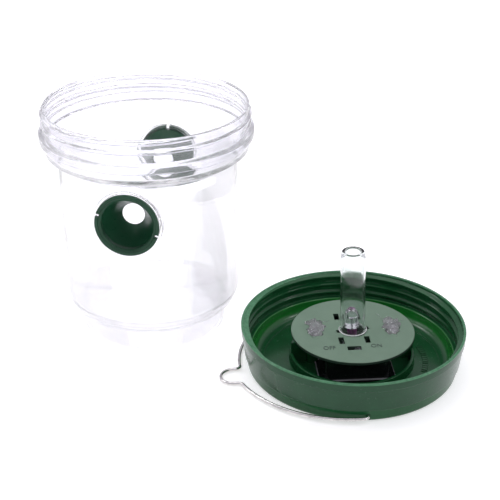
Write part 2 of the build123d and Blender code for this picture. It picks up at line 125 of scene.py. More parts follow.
LID_TURN = 27.5
RIM_WALL = 1.6
SKIRT_FOOT = 64.6
SKIRT_INNER_FOOT = 63.1
CAP_RADIUS = 63.3
CAP_WALL = 3.1
CAP_DRAFT = 0.4
SKIRT_START = 8.0
LEDGE = 10.5
FLOOR = 2.0
STEP_RADIUS = 53.0
STEP_RISE = 0.5
COLLAR_RADIUS = 37.5
COLLAR_TOP = 8.0
COLLAR_WALL = 2
BAND_STEPS = ((0.75, 5.6), (0.25, 5.2))   # the outer band: in from the rim's radius, down from the rim
PANEL = 42.0
POST_X = 24.0
POST_RADIUS = 3.8
RIB_X = 32
RIB = (10, 2, 13.5)
SINK = 0.5                 # how far the posts and ribs are sunk in the floor
EDGE = 0.3                 # rounding of the posts' and ribs' edges
TICK_RADIUS = 44.5
TICK_START, TICK_TURN, TICK_COUNT = -23, 3, 13
TICK_LONG, TICK_WIDTHS, TICK_HIGH = 3.4, (0.9, 1.9), 0.6
PIN_HEIGHT = 3.9
PIN_GAP = 0.15
PIN_CUT = 6
PIN_CUT_STARTS = (-CAP_RADIUS - 1.0, CAP_RADIUS - 5.0)

TUBE_SEAT = 17.0
TUBE_TOP = 75.2
TUBE_LEAN = 2.0
TUBE_BASE = 8.0
TUBE_WAIST = 7.5
TUBE_LIP = 6.6
TUBE_MOUTH = 4.7
TUBE_WALL = 1.0
KEY = (2.2, 2.6, 1.8)
KEY_MIDDLE = 8.6
KEY_TURN = 9
RING_SECTION = 0.42        # radius of the white ring at the tube's foot, a painted glint
RING_RISE = 0.45
LED_LEAN = 4.0
BOARD_TOP = 16.6
LED_GAP = 0.25
LED_LIFT = 8.8
LED_RADIUS = 3.9
LED_FLANGE_RADIUS = 4.65
LED_FLANGE = 1.6
LED_HEIGHT = 12.2
WIRE = 2.2
HOOP_RADIUS = 65.5
FRONT_BULGE = 5.4          # the hoop's front half is this much wider
LOOP_TIP = 80.0
PIN_INNER = 59.0
PIN_BEND = 2.6
LOOP_BEND = 3.0
FRONT_SWEEP = 66.2
REAR_SWEEP = 92.6

UNIT = Matrix.Scale(MM, 4)
JAR_PLACE = UNIT
LID_PLACE = UNIT @ Matrix.Translation((LID_OFFSET, 0, 0)) @ Matrix.Rotation(radians(LID_TURN), 4, "Z")


def leaning(lean, height, rise=0.0):
    """A place on an axis that leaves the lid's axis at a height and leans to its -x side."""
    tilt = Matrix.Rotation(radians(-lean), 4, "Y")
    return LID_PLACE @ Matrix.Translation((0, 0, height)) @ tilt @ Matrix.Translation((0, 0, rise))


def funnel_place(azimuth, reach):
    """A place whose z axis faces out through a funnel's hole, this far from the jar's axis."""
    out = Matrix.Rotation(radians(azimuth), 4, "Z") @ Matrix.Translation((reach, 0, FUNNEL_HEIGHT))
    return out @ Matrix(((0, 0, 1, 0), (1, 0, 0, 0), (0, 1, 0, 0), (0, 0, 0, 1)))


# ------------------------------------------------------------------ camera, light and floor
def make_camera():
    """A long lens that looks down past the jar at the lid."""
    camera = bpy.data.objects.new("camera", bpy.data.cameras.new("camera"))
    camera.data.lens = 83.17
    camera.data.sensor_width = 36
    camera.data.clip_end = 20
    camera.location = (0.3146, -0.5704, 0.3784)
    camera.rotation_euler = (radians(90 - 26.95), 0, radians(23.45))
    bpy.context.scene.collection.objects.link(camera)
    bpy.context.scene.camera = camera


def soft_box(name, place, aim, width, depth, power):
    """A rectangular light, turned to face a point."""
    lamp = bpy.data.lights.new(name, "AREA")
    lamp.shape = "RECTANGLE"
    lamp.size, lamp.size_y, lamp.energy = width, depth, power
    box = bpy.data.objects.new(name, lamp)
    box.location = place
    box.rotation_euler = (Vector(aim) - Vector(place)).to_track_quat("-Z", "Y").to_euler()
    bpy.context.scene.collection.objects.link(box)


make_camera()
soft_box("ceiling_box", (0.0, 0.35, 1.5), (0.05, 0.0, 0.0), 1.6, 1.2, 7)
soft_box("left_box", (-1.1, -0.3, 0.7), (0.0, 0.0, 0.08), 0.5, 0.9, 2)
soft_box("right_box", (1.2, -0.5, 0.8), (0.1, 0.0, 0.05), 0.4, 0.8, 1.5)
soft_box("left_glint", (-0.7, 0.25, 1.1), (0.134, 0.0, 0.0), 0.2, 0.2, 1.6)
soft_box("right_glint", (1.0, 0.35, 1.0), (0.134, 0.0, 0.0), 0.16, 0.16, 1.1)

scene = bpy.context.scene
scene.view_settings.view_transform = "Standard"
world = bpy.data.worlds.new("studio")
scene.world = world
world.use_nodes = True
backdrop = world.node_tree.nodes["Background"]
backdrop.inputs["Color"].default_value = (0.93, 0.91, 1.0, 1)
backdrop.inputs["Strength"].default_value = 0.66


# ------------------------------------------------------------------ finishes
class Socket:
    """One output of a shader node, which sums and products work on."""

    def __init__(self, output):
        self.output = output

    def math(self, operation, first, second):
        """A Math node of this operation on two values."""
        tree = self.output.id_data
        node = tree.nodes.new("ShaderNodeMath")
        node.operation = operation
        for socket, value in zip(node.inputs, (first, second)):
            if isinstance(value, Socket):
                tree.links.new(value.output, socket)
            else:
                socket.default_value = value
        return Socket(node.outputs[0])

    def __add__(self, other):
        return self.math("ADD", self, other)

    def __sub__(self, other):
        return self.math("SUBTRACT", self, other)

    def __rsub__(self, other):
        return self.math("SUBTRACT", other, self)

    def __mul__(self, other):
        return self.math("MULTIPLY", self, other)

    def __lt__(self, other):
        return self.math("LESS_THAN", self, other)

    def __gt__(self, other):
        return self.math("GREATER_THAN", self, other)

    def __mod__(self, other):
        return self.math("FLOORED_MODULO", self, other)

    __radd__ = __add__
    __rmul__ = __mul__


class Finish:
    """A procedural material: a Principled shader and the nodes behind it."""

    def __init__(self, name, **constants):
        self.material = bpy.data.materials.new(name)
        self.material.use_nodes = True
        self.tree = self.material.node_tree
        self.shader = self.tree.nodes["Principled BSDF"]
        self.set(**constants)
        self.place = self.node("ShaderNodeTexCoord", out="Object")

    def set(self, **values):
        """Give the shader's sockets values or links, named with _ for a space."""
        for name, value in values.items():
            self.feed(self.shader.inputs[name.replace("_", " ")], value)

    def feed(self, socket, value):
        """Link a socket, or set its value; a colour may leave out its alpha."""
        if isinstance(value, Socket):
            self.tree.links.new(value.output, socket)
        elif socket.type == "RGBA":
            socket.default_value = (*value, 1)
        else:
            socket.default_value = value

    def node(self, kind, inputs={}, out=0, stops=None, **settings):
        """Add a node, set it up, feed its sockets and return one of its outputs."""
        node = self.tree.nodes.new(kind)
        for name, value in settings.items():
            setattr(node, name, value)
        if stops:
            ramp = node.color_ramp
            ramp.elements[0].position, ramp.elements[-1].position = stops[0][0], stops[-1][0]
            for position, _ in stops[1:-1]:
                ramp.elements.new(position)
            for element, (_, value) in zip(ramp.elements, stops):
                element.color = (*value, 1) if isinstance(value, tuple) else (value, value, value, 1)
        for name, value in inputs.items():
            self.feed(node.inputs[name], value)
        return Socket(node.outputs[out])

    def cloud(self, size, detail=3.0, roughness=0.55):
        """Soft noise from 0 to 1, with features of this size in millimetres."""
        return self.node("ShaderNodeTexNoise", {
            "Vector": self.place, "Scale": 1 / (size * MM),
            "Detail": detail, "Roughness": roughness}, "Fac")

    def ramp(self, value, *stops):
        """A value sent through a colour ramp."""
        return self.node("ShaderNodeValToRGB", {"Fac": value}, "Color", stops)

    def mix(self, factor, first, second):
        """A mix of two colours."""
        return self.node("ShaderNodeMix", {0: factor, 6: first, 7: second}, 2, data_type="RGBA")

    def axes(self, turn=0.0, centre=(0, 0, 0)):
        """The object's coordinates in millimetres, centred and turned about z, as three values."""
        turned = self.node("ShaderNodeMapping", {
            "Vector": self.place, "Location": Vector(centre) * MM,
            "Rotation": (0, 0, turn)}, vector_type="TEXTURE")
        return [self.node("ShaderNodeSeparateXYZ", {"Vector": turned}, side) * 1000 for side in "XYZ"]

    def bump(self, height, distance, strength=1.0):
        """Raise the surface by a height map, this many millimetres at 1."""
        self.set(Normal=self.node("ShaderNodeBump", {
            "Height": height, "Distance": distance * MM, "Strength": strength}))

    def clear_shadow(self, tint=(1, 1, 1)):
        """Let light through to what is behind, as thin clear plastic does."""
        through = self.node("ShaderNodeBsdfTransparent", {"Color": tint})
        is_shadow = self.node("ShaderNodeLightPath", out="Is Shadow Ray")
        solid = Socket(self.shader.outputs[0])
        both = self.node("ShaderNodeMixShader", {0: is_shadow, 1: solid, 2: through})
        output = self.tree.nodes["Material Output"]
        self.tree.links.new(both.output, output.inputs["Surface"])


def clear_jar_finish():
    """Blow-moulded clear plastic, a little wavy, and tinted and hazier towards its foot."""
    finish = Finish("clear_jar", Transmission_Weight=1.0, IOR=1.49)
    height = finish.axes()[2]
    climb = height * 0.006
    tint = finish.ramp(
        climb, (0.09, (0.80, 0.79, 0.84)), (0.125, (0.92, 0.915, 0.94)),
        (0.3, (0.985, 0.98, 0.995)), (0.72, (0.985, 0.98, 1.0)), (0.76, (0.93, 0.925, 0.985)))
    finish.set(Alpha=finish.ramp(climb, (0.09, 0.62), (0.2, 0.8), (0.7, 0.82), (0.78, 0.88)))
    finish.set(Base_Color=tint)
    haze = finish.node("ShaderNodeMapRange", {
        "Value": height, "From Min": 18.0, "From Max": 70.0, "To Min": 0.17, "To Max": 0.035},
        "Result", interpolation_type="SMOOTHSTEP")
    finish.set(Roughness=haze + finish.cloud(6, 6) * 0.03)
    finish.bump(finish.cloud(22, 1.5) + finish.cloud(5, 2) * 0.06, 0.35)
    finish.clear_shadow((0.965, 0.965, 0.975))
    return finish.material


def clear_tube_finish():
    """Clear acrylic tube, its surface faintly matt from its mould."""
    finish = Finish("clear_tube", Base_Color=(0.93, 0.96, 0.95), Transmission_Weight=1.0, IOR=1.49)
    finish.set(Roughness=finish.ramp(finish.cloud(3, 5), (0.35, 0.03), (0.75, 0.14)))
    finish.bump(finish.cloud(9, 2), 0.1)
    finish.clear_shadow((0.93, 0.95, 0.94))
    return finish.material


def white_glint_ring_finish():
    """A whitish, partly clear ring at the clear tube's foot: a painted glint, put where the tube's foot
    catches light.
    """
    finish = Finish("white_glint_ring", Transmission_Weight=0.35, IOR=1.49)
    grain = finish.cloud(0.9, 4)
    finish.set(Base_Color=finish.mix(grain, (0.75, 0.78, 0.77), (0.98, 0.98, 0.98)))
    finish.set(Roughness=finish.ramp(grain, (0.3, 0.2), (0.7, 0.45)))
    return finish.material


def green_finish(name, dark, light, roughness):
    """Dyed green plastic with a soft moulded mottle and scuffed high spots, and its colour."""
    finish = Finish(name, Coat_Weight=0.1, Coat_Roughness=0.12, IOR=1.42, Specular_IOR_Level=0.36)
    mottle = finish.cloud(14, 4)
    colour = finish.mix(finish.ramp(mottle, (0.3, 0.0), (0.75, 1.0)), dark, light)
    finish.set(Base_Color=colour)
    scuffs = finish.cloud(1.8, 8, 0.7)
    finish.set(Roughness=finish.ramp(scuffs, (0.35, roughness * 0.8), (0.8, roughness * 1.5)))
    finish.bump(finish.cloud(0.7, 4) * 0.5 + mottle * 0.5, 0.04)
    return finish, colour


def funnel_finish():
    """The funnels' green, a little bluer and duller than the lid's."""
    return green_finish("funnel_plastic", (0.005, 0.042, 0.018), (0.009, 0.058, 0.026), 0.33)[0].material


def lid_finish():
    """The lid's green, glossier in its inner corner, with painted light: a painted glow in that corner,
    painted shade on its outer wall and a painted highlight on its rim.
    """
    finish, colour = green_finish("green_plastic", (0.005, 0.062, 0.018), (0.010, 0.084, 0.027), 0.22)
    across, along, height = finish.axes(0, (LID_OFFSET, 0, 0))
    flat = finish.node("ShaderNodeCombineXYZ", {"X": across, "Y": along})
    radius = finish.node("ShaderNodeVectorMath", {0: flat}, "Value", operation="LENGTH")
    # Painted light: a brighter green band in the inner corner above the floor stands in for light shining
    # through the wall; the band also gets more coat.
    inner = finish.ramp(radius * 0.01, (0.535, 0.0), (0.575, 1.0), (0.604, 1.0), (0.612, 0.0))
    corner = finish.ramp(height * 0.01, (0.026, 0.0), (0.06, 1.0), (0.10, 1.0), (0.125, 0.0))
    painted_glow_band = finish.node("ShaderNodeSeparateColor", {"Color": inner}, "Red") * \
        finish.node("ShaderNodeSeparateColor", {"Color": corner}, "Red")
    painted_glow_colour = finish.mix(painted_glow_band * 0.85, colour, (0.012, 0.19, 0.022))
    finish.set(Coat_Weight=painted_glow_band * 0.6 + 0.1)
    rim_bottom = LID_HEIGHT - 0.9
    # Painted highlight: the top of the rim is made paler, mottled by noise, to stand in for the pale
    # highlight along it.
    painted_rim_highlight = finish.node("ShaderNodeMapRange", {
        "Value": finish.cloud(2.5, 5), "From Min": 0.25, "From Max": 0.6,
        "To Min": 0.35, "To Max": 0.75}, "Result")
    rim = (height > rim_bottom) * painted_rim_highlight
    # Painted shade: the outer wall below the rim is darkened.
    outside = (radius > height * 0.124 + 63.1) * (height < rim_bottom)
    shaded = finish.mix(outside * 0.4, painted_glow_colour, (0.004, 0.024, 0.014))
    finish.set(Base_Color=finish.mix(rim, shaded, (0.085, 0.25, 0.13)))
    return finish.material


def cover_finish():
    """Matte grey-green plastic with a fine etched texture, and painted shade below its top face, such as on
    the walls of its holes.
    """
    finish = Finish("cover_plastic", IOR=1.45)
    grain = finish.cloud(0.35, 3)
    cloudy = finish.cloud(11, 4)
    face = finish.mix(cloudy, (0.108, 0.178, 0.122), (0.152, 0.232, 0.166))
    # Painted shade: below the top face, such as on the walls of the holes, the colour is made nearly black.
    below = finish.axes()[2] < COVER_TOP - 0.32
    finish.set(Base_Color=finish.mix(below * 0.9, face, (0.008, 0.022, 0.014)))
    finish.set(Roughness=finish.ramp(grain, (0.3, 0.42), (0.7, 0.62)))
    finish.bump(grain, 0.03)
    return finish.material


def legend_finish():
    """Raised letters, their colour darker than the cover's: painted shade."""
    finish = Finish("legend", IOR=1.45)
    # Painted shade: the letters are given a darker colour than the cover.
    finish.set(Base_Color=finish.mix(finish.cloud(0.8, 4), (0.035, 0.055, 0.042), (0.06, 0.09, 0.07)))
    finish.set(Roughness=finish.ramp(finish.cloud(0.5, 3), (0.3, 0.45), (0.7, 0.6)))
    return finish.material


def black_finish():
    """Glossy black plastic with faint dust, and a painted highlight in a band 3.4 to 4.1 mm up, at the
    housing tray's chamfer.
    """
    finish = Finish("black_plastic", IOR=1.5)
    dust = finish.cloud(1.2, 8, 0.75)
    dusty = finish.ramp(dust, (0.5, (0.006, 0.008, 0.008)), (0.9, (0.03, 0.03, 0.032)))
    height = finish.axes()[2]
    # Painted highlight: a lighter band 3.4 to 4.1 mm up, where the housing's tray is chamfered.
    painted_chamfer_highlight = (height > 3.42) * (height < 4.08)
    finish.set(Base_Color=finish.mix(painted_chamfer_highlight * 0.8, dusty, (0.20, 0.21, 0.22)))
    finish.set(Roughness=finish.ramp(dust, (0.4, 0.13), (0.85, 0.4)))
    finish.bump(finish.cloud(7, 2), 0.05)
    return finish.material


def wire_finish():
    """Bright drawn steel wire, with fine draw lines and dull spots."""
    finish = Finish("bail_wire", Metallic=1.0)
    dull = finish.cloud(5, 5)
    finish.set(Base_Color=finish.ramp(dull, (0.3, (0.84, 0.82, 0.80)), (0.8, (0.46, 0.45, 0.44))))
    finish.set(Roughness=finish.ramp(dull, (0.35, 0.12), (0.8, 0.3)))
    finish.bump(finish.cloud(0.5, 3), 0.02)
    return finish.material


def steel_finish():
    """Plated steel of the screws and contacts."""
    finish = Finish("steel_small", Metallic=1.0)
    spots = finish.cloud(0.8, 6)
    finish.set(Base_Color=finish.ramp(spots, (0.3, (0.62, 0.62, 0.64)), (0.8, (0.38, 0.38, 0.40))))
    finish.set(Roughness=finish.ramp(spots, (0.3, 0.2), (0.8, 0.42)))
    return finish.material


def board_finish():
    """Solder mask over copper tracks."""
    finish = Finish("board", IOR=1.5)
    across, along, _ = finish.axes(radians(LID_TURN), (LID_OFFSET, 0, 0))
    wander = finish.cloud(9, 1) * 5
    tracks = ((across + wander) % 2.5 < 0.6) * ((along + wander) % 7.0 > 1.2)
    finish.set(Base_Color=finish.mix(tracks, (0.004, 0.012, 0.008), (0.010, 0.035, 0.020)))
    finish.set(Roughness=finish.ramp(tracks, (0.0, 0.32), (1.0, 0.24)))
    finish.bump(tracks, 0.03)
    return finish.material


def cell_finish():
    """Dark blue silicon with silver fingers and two busbars."""
    finish = Finish("solar_silicon", IOR=1.6)
    across, along, _ = finish.axes(radians(LID_TURN), (LID_OFFSET, 0, 0))
    fingers = (across + 100) % 2.0 < 0.12
    bars = (along + 110) % 20.0 < 0.9
    lines = finish.node("ShaderNodeMath", {0: fingers, 1: bars}, operation="MAXIMUM")
    grain = finish.node("ShaderNodeTexVoronoi", {"Vector": finish.place, "Scale": 260.0}, "Color")
    crystals = finish.node("ShaderNodeSeparateColor", {"Color": grain}, "Red")
    blue = finish.ramp(crystals, (0.0, (0.006, 0.010, 0.040)), (1.0, (0.016, 0.026, 0.085)))
    finish.set(Base_Color=finish.mix(lines, blue, (0.55, 0.56, 0.58)))
    finish.set(Roughness=finish.ramp(lines, (0.0, 0.22), (1.0, 0.4)), Metallic=lines * 0.8)
    return finish.material


def window_finish():
    """Clear acrylic sheet with hairline scratches."""
    finish = Finish("solar_glass", Base_Color=(0.96, 0.97, 0.97), Transmission_Weight=1.0, IOR=1.49)
    scratches = finish.node("ShaderNodeTexWave", {
        "Vector": finish.place, "Scale": 90.0, "Distortion": 14.0, "Detail": 4.0}, "Fac")
    finish.set(Roughness=finish.ramp(scratches, (0.8, 0.03), (1.0, 0.16)))
    finish.clear_shadow((0.95, 0.96, 0.96))
    return finish.material


def lamp_finish():
    """Water-clear epoxy."""
    finish = Finish("lamp", Base_Color=(0.97, 0.95, 0.98), Transmission_Weight=1.0, IOR=1.5)
    finish.set(Roughness=finish.ramp(finish.cloud(2, 3), (0.4, 0.01), (0.8, 0.05)))
    finish.clear_shadow((0.95, 0.94, 0.96))
    return finish.material


def magenta_finish():
    """Translucent magenta plastic of the lamp's spacer."""
    finish = Finish("purple_plastic", IOR=1.5, Subsurface_Weight=0.25, Subsurface_Radius=(2, 0.5, 1.2))
    finish.shader.inputs["Subsurface Scale"].default_value = MM
    streaks = finish.cloud(1.5, 4)
    finish.set(Base_Color=finish.mix(streaks, (0.10, 0.010, 0.085), (0.17, 0.022, 0.14)))
    finish.set(Roughness=finish.ramp(streaks, (0.3, 0.25), (0.8, 0.45)))
    return finish.material


def glue_finish():
    """Clear hot-melt glue, crinkled as it set, with painted shade in dark patches and painted glints in
    white ones.
    """
    finish = Finish("glue", Transmission_Weight=1.0, IOR=1.54)
    # Painted light: the noise gives dark patches of painted shade and white patches of painted glints; it
    # also sets the roughness.
    painted_shade_and_sparkle = finish.cloud(1.2, 4)
    finish.set(Base_Color=finish.ramp(painted_shade_and_sparkle, (0.40, (0.42, 0.40, 0.44)), (0.58, (0.97, 0.97, 0.98))))
    finish.set(Roughness=finish.ramp(painted_shade_and_sparkle, (0.4, 0.01), (0.75, 0.1)))
    finish.bump(finish.cloud(0.8, 3), 0.7)
    finish.clear_shadow((0.9, 0.91, 0.9))
    return finish.material


def battery_finish():
    """Printed foil wrap: a silver band on dark blue."""
    finish = Finish("battery_wrap", IOR=1.5, Coat_Weight=0.4, Coat_Roughness=0.1)
    _, along, _ = finish.axes(radians(LID_TURN), (LID_OFFSET, 0, 0))
    band = (along > 10.0) * (along < 16.0)
    finish.set(Base_Color=finish.mix(band, (0.02, 0.035, 0.16), (0.5, 0.5, 0.52)), Metallic=band * 0.7)
    finish.set(Roughness=finish.ramp(finish.cloud(4, 4), (0.3, 0.2), (0.8, 0.35)))
    return finish.material


def lead_finish(name, colour):
    """Soft insulation of a thin wire."""
    finish = Finish(name, IOR=1.45)
    finish.set(Base_Color=finish.mix(finish.cloud(2, 3), colour, [0.6 * part + 0.01 for part in colour]))
    finish.set(Roughness=finish.ramp(finish.cloud(1, 3), (0.3, 0.35), (0.8, 0.55)))
    return finish.material


def paper_finish():
    """Seamless white paper, lit from below as well."""
    finish = Finish("paper", Specular_IOR_Level=0.2, Emission_Color=(1, 1, 1), Emission_Strength=0.5)
    finish.set(Base_Color=finish.mix(finish.cloud(300, 2), (0.76, 0.76, 0.765), (0.78, 0.78, 0.78)))
    finish.set(Roughness=finish.ramp(finish.cloud(40, 2), (0.3, 0.8), (0.7, 0.9)))
    return finish.material


FINISHES = {
    "clear_jar": clear_jar_finish(),
    "clear_tube": clear_tube_finish(),
    "white_glint_ring": white_glint_ring_finish(),
    "green_plastic": lid_finish(),
    "funnel_plastic": funnel_finish(),
    "cover_plastic": cover_finish(),
    "black_plastic": black_finish(),
    "bail_wire": wire_finish(),
    "steel_small": steel_finish(),
    "board": board_finish(),
    "solar_glass": window_finish(),
    "solar_silicon": cell_finish(),
    "lamp": lamp_finish(),
    "purple_plastic": magenta_finish(),
    "legend": legend_finish(),
    "glue": glue_finish(),
    "battery_wrap": battery_finish(),
    "red_lead": lead_finish("red_lead", (0.45, 0.02, 0.02)),
    "black_lead": lead_finish("black_lead", (0.015, 0.015, 0.017)),
}

bpy.ops.mesh.primitive_plane_add(size=8)
floor = bpy.context.object
floor.name = "floor"
floor.data.materials.append(paper_finish())


# ------------------------------------------------------------------ shaping tools
def rounded(points, rounds, step=12):
    """A line of points with every corner but its ends turned into a short arc."""
    line = [Vector(points[0])]
    for before, corner, after, radius in zip(points, points[1:], points[2:], rounds):
        before, corner, after = Vector(before), Vector(corner), Vector(after)
        into, out = (corner - before).normalized(), (after - corner).normalized()
        turn = atan2(into.cross(out), into.dot(out))
        side = 1 if turn > 0 else -1
        start = corner - into * radius * tan(abs(turn) / 2)
        centre = start + Vector((-into.y, into.x)) * radius * side
        pieces = max(2, ceil(abs(degrees(turn)) / step))
        for piece in range(pieces + 1):
            line.append(centre + Matrix.Rotation(turn * piece / pieces, 2) @ (start - centre))
    line.append(Vector(points[-1]))
    return line


def rows(line, height):
    """The same line with its long upright stretches divided."""
    divided = [line[0]]
    for start, end in zip(line, line[1:]):
        pieces = max(1, ceil(abs(end.y - start.y) / height))
        divided += [start.lerp(end, piece / pieces) for piece in range(1, pieces + 1)]
    return divided


def turned(line, segments=192, closed=False):
    """An outline of radius and height, spun about the z axis into a shell."""
    bm = bmesh.new()
    verts = [bm.verts.new((point.x, 0, point.y)) for point in line]
    edges = [bm.edges.new(pair) for pair in zip(verts, verts[1:])]
    if closed:
        edges.append(bm.edges.new((verts[-1], verts[0])))
    bmesh.ops.spin(bm, geom=verts + edges, cent=(0, 0, 0), axis=(0, 0, 1), angle=2 * pi,
                   steps=segments, use_merge=True)
    bmesh.ops.remove_doubles(bm, verts=bm.verts, dist=1e-4)
    bmesh.ops.recalc_face_normals(bm, faces=bm.faces)
    return bm


def block(width, depth, height, round_edges=0.0, place=Matrix(), segments=3):
    """A box that stands on its place, with its edges rounded."""
    bm = bmesh.new()
    shape = place @ Matrix.Translation((0, 0, height / 2)) @ Matrix.Diagonal((width, depth, height, 1))
    bmesh.ops.create_cube(bm, size=1, matrix=shape)
    if round_edges:
        bmesh.ops.bevel(bm, geom=bm.edges, offset=round_edges, segments=segments, profile=0.5,
                        affect="EDGES", material=-1)
    return bm


def disc(radius, height, round_edges=0.0, place=Matrix(), segments=96):
    """A round plate that stands on its place, its top rim rounded."""
    bm = bmesh.new()
    bmesh.ops.create_circle(bm, cap_ends=True, radius=radius, segments=segments)
    top = bmesh.ops.extrude_face_region(bm, geom=bm.faces[:])["geom"]
    raised = [item for item in top if isinstance(item, bmesh.types.BMVert)]
    bmesh.ops.translate(bm, vec=(0, 0, height), verts=raised)
    bmesh.ops.recalc_face_normals(bm, faces=bm.faces)
    if round_edges:
        rim = [edge for edge in bm.edges if all(vert.co.z > height / 2 for vert in edge.verts)]
        bmesh.ops.bevel(bm, geom=rim, offset=round_edges, segments=3, profile=0.5,
                        affect="EDGES", material=-1)
    bmesh.ops.transform(bm, matrix=place, verts=bm.verts)
    return bm


def gather(*shapes):
    """Several shapes as one."""
    together = bmesh.new()
    for shape in shapes:
        mesh = bpy.data.meshes.new("part")
        shape.to_mesh(mesh)
        shape.free()
        together.from_mesh(mesh)
        bpy.data.meshes.remove(mesh)
    return together


def combine(operation, shape, *tools):
    """A shape with others joined to it or cut from it."""
    objects = []
    for part in (shape, gather(*tools)):
        mesh = bpy.data.meshes.new("part")
        part.to_mesh(mesh)
        part.free()
        objects.append(bpy.data.objects.new("part", mesh))
        scene.collection.objects.link(objects[-1])
    boolean = objects[0].modifiers.new("boolean", "BOOLEAN")
    boolean.operation, boolean.solver, boolean.object = operation, "EXACT", objects[1]
    result = bmesh.new()
    result.from_object(objects[0], bpy.context.evaluated_depsgraph_get())
    for part in objects:
        bpy.data.meshes.remove(part.data)
    return result


def add_thread(bm, wall, draft, crest, low, high, first, turns):
    """Raise a helical thread on a shell's rows between two heights, fading in and out at its ends.

    The wall's radius is given at the lower height, and its draft is what it gains for each unit up.
    """
    for vert in bm.verts:
        radius = wall + draft * (vert.co.z - low)
        if low < vert.co.z < high and abs(hypot(vert.co.x, vert.co.y) - radius) < ON_WALL:
            angle = (atan2(vert.co.y, vert.co.x) / (2 * pi)) % 1
            climb = (vert.co.z - first) / THREAD_PITCH - angle
            turn = round(climb)
            along = turn + angle
            ridge = max(0, 1 - abs(climb - turn) * THREAD_PITCH / THREAD_HALF)
            fade = min(1, max(0, along / THREAD_FADE), max(0, (turns - along) / THREAD_FADE))
            rise = (1 - cos(pi * min(1, ridge * THREAD_SHARPNESS))) / 2 * fade
            vert.co.xy *= 1 + rise * (crest - radius) / radius


def finish_piece(name, bm, place, body, node=None, slot=None, finish=None, sharp=35):
    """Put a shape in its place as a piece on a body, with its finish."""
    bmesh.ops.transform(bm, matrix=place, verts=bm.verts)
    for face in bm.faces:
        face.smooth = True
    for edge in bm.edges:
        edge.smooth = edge.calc_face_angle(0) < radians(sharp)
    mesh = bpy.data.meshes.new(name)
    bm.to_mesh(mesh)
    bm.free()
    piece = bpy.data.objects.new(name, mesh)
    scene.collection.objects.link(piece)
    mesh.materials.append(FINISHES[finish or slot])
    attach(piece, body)
    if node:
        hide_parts(node)
    return piece


# ------------------------------------------------------------------ jar
mid_radius = (BASE_RADIUS + BODY_RADIUS) / 2
RIM_INNER = NECK_RADIUS - JAR_WALL
NECK_START = BEAD_HEIGHT + BEAD_DEPTH + BEAD_OVER
jar_outside = rounded([
    (0, 0),
    (BASE_RADIUS, 0),
    (BASE_RADIUS + BASE_FLARE, BASE_STEP),
    (mid_radius + STEP_OUT, BASE_STEP + STEP_UP),
    (BODY_RADIUS, BODY_START),
    (BODY_RADIUS, SHOULDER),
    (SKIRT_RADIUS, SKIRT_HEIGHT),
    (SKIRT_RADIUS + SKIRT_FLARE, BEAD_HEIGHT),
    (BEAD_RADIUS, BEAD_HEIGHT + BEAD_UNDER),
    (BEAD_RADIUS, BEAD_HEIGHT + BEAD_DEPTH),
    (NECK_RADIUS, NECK_START),
    (NECK_RADIUS, JAR_HEIGHT),
    (0, JAR_HEIGHT),
], [2.5, 0.8, 3.5, 6, 2.5, 1.2, 0.5, 1.2, 1.2, 0.5, 0.6])
jar_inside = rounded([
    (0, JAR_HEIGHT + MOUTH_CUT),
    (RIM_INNER + 1.5, JAR_HEIGHT + MOUTH_CUT),
    (RIM_INNER + 0.6, JAR_HEIGHT),
    (RIM_INNER, JAR_HEIGHT - 0.8),
    (RIM_INNER, SKIRT_HEIGHT + JAR_WALL),
    (BODY_RADIUS - JAR_WALL, SHOULDER + JAR_WALL),
    (BODY_RADIUS - JAR_WALL, BODY_START + JAR_WALL / 2),
    (mid_radius + STEP_INNER_OUT, BASE_STEP + STEP_UP + JAR_WALL),
    (BASE_RADIUS - JAR_WALL + BASE_INNER_FLARE, BASE_STEP + JAR_WALL),
    (BASE_RADIUS - JAR_WALL, JAR_WALL),
    (0, JAR_WALL),
], [0.2, 0.2, 0.3, 2, 2, 5, 3, 1, 2])


def neck_rows(line):
    """Close rows where the thread is."""
    straight = [point for point in line if point.y > NECK_START and abs(point.x - NECK_RADIUS) < 0.01]
    low, high = straight[0], straight[-1]
    at = line.index(low)
    return line[:at] + rows([low, high], 0.3) + line[at + 2:]


jar = turned(neck_rows(jar_outside))
add_thread(jar, NECK_RADIUS, 0, THREAD_CREST, NECK_START + 0.3, JAR_HEIGHT - 0.7,
           JAR_THREAD_START, JAR_THREAD_TURNS)


def funnel_discs(radius, height, round_edges, reach):
    """A disc at each funnel, standing this far from the jar's axis."""
    return [disc(radius, height, round_edges, funnel_place(azimuth, reach))
            for azimuth in FUNNEL_AZIMUTHS.values()]


pocket_depth = PAD_FACE - JAR_WALL - PAD_DEPTH
HOLE_RADIUS = MOUTH_RADIUS + FUNNEL_WALL + HOLE_GAP
jar = combine("UNION", jar, *funnel_discs(PAD_RADIUS, PAD_DEPTH, PAD_ROUND, PAD_FACE - PAD_DEPTH))
jar = combine("DIFFERENCE", jar, turned(jar_inside))
jar = combine("DIFFERENCE", jar, *funnel_discs(PAD_RADIUS - JAR_WALL, PAD_DEPTH, PAD_ROUND, pocket_depth))
jar = combine("DIFFERENCE", jar, *funnel_discs(HOLE_RADIUS, HOLE_CUT, 0, PAD_FACE - PAD_DEPTH))
finish_piece("jar_shell", jar, JAR_PLACE, "jar", "jar", "clear_jar")

